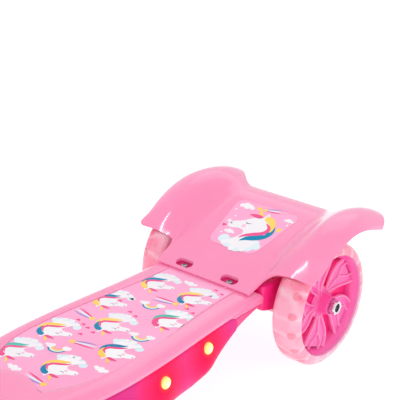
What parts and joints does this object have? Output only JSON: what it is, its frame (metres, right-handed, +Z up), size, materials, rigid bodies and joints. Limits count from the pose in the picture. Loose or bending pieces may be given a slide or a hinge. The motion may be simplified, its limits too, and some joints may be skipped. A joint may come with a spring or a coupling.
{
  "type": "kick scooter",
  "caption": "Child's three-wheeled kick scooter with light strips in the deck, a twin-arch rear fender brake and a telescopic tee handlebar.",
  "frame": {"origin": "on the ground at the middle of the overall bounding box", "axes": "+X forwards to the steered wheel, +Y to the rider's left along the axles, +Z up"},
  "size_m": [0.584, 0.3, 0.6405],
  "materials": {
    "shell_pink": "glossy light pink polypropylene moulding with a faint moulded grain",
    "belly_pink": "glossy deeper pink polypropylene moulding",
    "hot_pink": "glossy hot pink nylon moulding, slightly translucent",
    "tyre_pink": "translucent salmon pink polyurethane with fine tread lines",
    "light_lens": "clear hot pink lens, lit from behind",
    "led_glow": "clear warm yellow dome, glowing",
    "printed_mat": "glossy printed vinyl, pink with small fantasy motifs",
    "printed_label": "glossy printed vinyl label with one fantasy motif",
    "grip_pink": "soft matt pink rubber with shallow ribs",
    "column_white": "gloss white powder coat",
    "tube_chrome": "bright chrome plated tube",
    "nut_chrome": "bright zinc plated steel",
    "axle_steel": "plain turned steel",
    "bearing_steel": "ground bearing steel with a dark shield",
    "screw_steel": "zinc plated screw",
    "dark_plastic": "dark grey nylon",
    "board_green": "green circuit board",
    "cell_silver": "foil wrapped cell"
  },
  "bodies": {
    "chassis": {"deck_shell": "shell_pink", "deck_base": "belly_pink", "deck_mat": "printed_mat", "side_light_left": "light_lens", "side_light_right": "light_lens", "led_domes": "led_glow", "circuit_board": "board_green", "motion_switch": "dark_plastic", "battery_box": "dark_plastic", "batteries": "cell_silver", "battery_cover": "belly_pink", "base_screws": "screw_steel", "rear_axle_housing": "hot_pink", "rear_axle": "axle_steel", "rear_axle_nuts": "nut_chrome", "rear_axle_spacers": "axle_steel", "fender_screws": "nut_chrome", "head_tube": "axle_steel", "head_bushes": "dark_plastic"},
    "foot_brake": {"fender": "shell_pink", "fender_sticker": "printed_label"},
    "rear_wheel_left": {"rear_rim_left": "hot_pink", "rear_tyre_left": "tyre_pink", "rear_bearings_left": "bearing_steel", "rear_bush_left": "axle_steel"},
    "rear_wheel_right": {"rear_rim_right": "hot_pink", "rear_tyre_right": "tyre_pink", "rear_bearings_right": "bearing_steel", "rear_bush_right": "axle_steel"},
    "steering": {"fork": "hot_pink", "column_tube": "column_white", "stop_collar": "hot_pink", "front_axle": "axle_steel", "front_axle_nuts": "nut_chrome", "front_axle_spacers": "axle_steel", "column_bush": "dark_plastic", "clamp_collar": "hot_pink", "clamp_bolt": "nut_chrome", "lever_pin": "axle_steel"},
    "front_wheel": {"front_rim": "hot_pink", "front_tyre": "tyre_pink", "front_bearings": "bearing_steel", "front_bush": "axle_steel"},
    "clamp_lever": {"clamp_lever": "hot_pink"},
    "handlebar": {"handle_tube": "tube_chrome", "tee_socket": "hot_pink", "cross_bar": "tube_chrome", "grip_left": "grip_pink", "grip_right": "grip_pink"}
  },
  "joints": [
    {"name": "rear_wheel_left_spin", "type": "hinge", "parent": "chassis", "child": "rear_wheel_left", "pos_m": [-0.208, 0.0795, 0.06], "axis": [0, 1, 0], "continuous": true},
    {"name": "rear_wheel_right_spin", "type": "hinge", "parent": "chassis", "child": "rear_wheel_right", "pos_m": [-0.208, -0.0795, 0.06], "axis": [0, 1, 0], "continuous": true},
    {"name": "steer", "type": "hinge", "parent": "chassis", "child": "steering", "pos_m": [0.22114, 0, 0.13724], "axis": [-0.1392, 0, 0.9903], "range_deg": [-40, 40]},
    {"name": "front_wheel_spin", "type": "hinge", "parent": "steering", "child": "front_wheel", "pos_m": [0.232, 0, 0.06], "axis": [0, 1, 0], "continuous": true},
    {"name": "bar_height", "type": "slide", "parent": "steering", "child": "handlebar", "axis": [-0.1392, 0, 0.9903], "range_m": [0, 0.09]},
    {"name": "clamp_open", "type": "hinge", "parent": "steering", "child": "clamp_lever", "pos_m": [0.15547, 0.015, 0.4249], "axis": [-0.1392, 0, 0.9903], "range_deg": [0, 100]},
    {"name": "brake_press", "type": "hinge", "parent": "chassis", "child": "foot_brake", "pos_m": [-0.137, 0, 0.0886], "axis": [0, -1, 0], "range_deg": [0, 2], "stiffness_Nm_per_rad": 150}
  ]
}
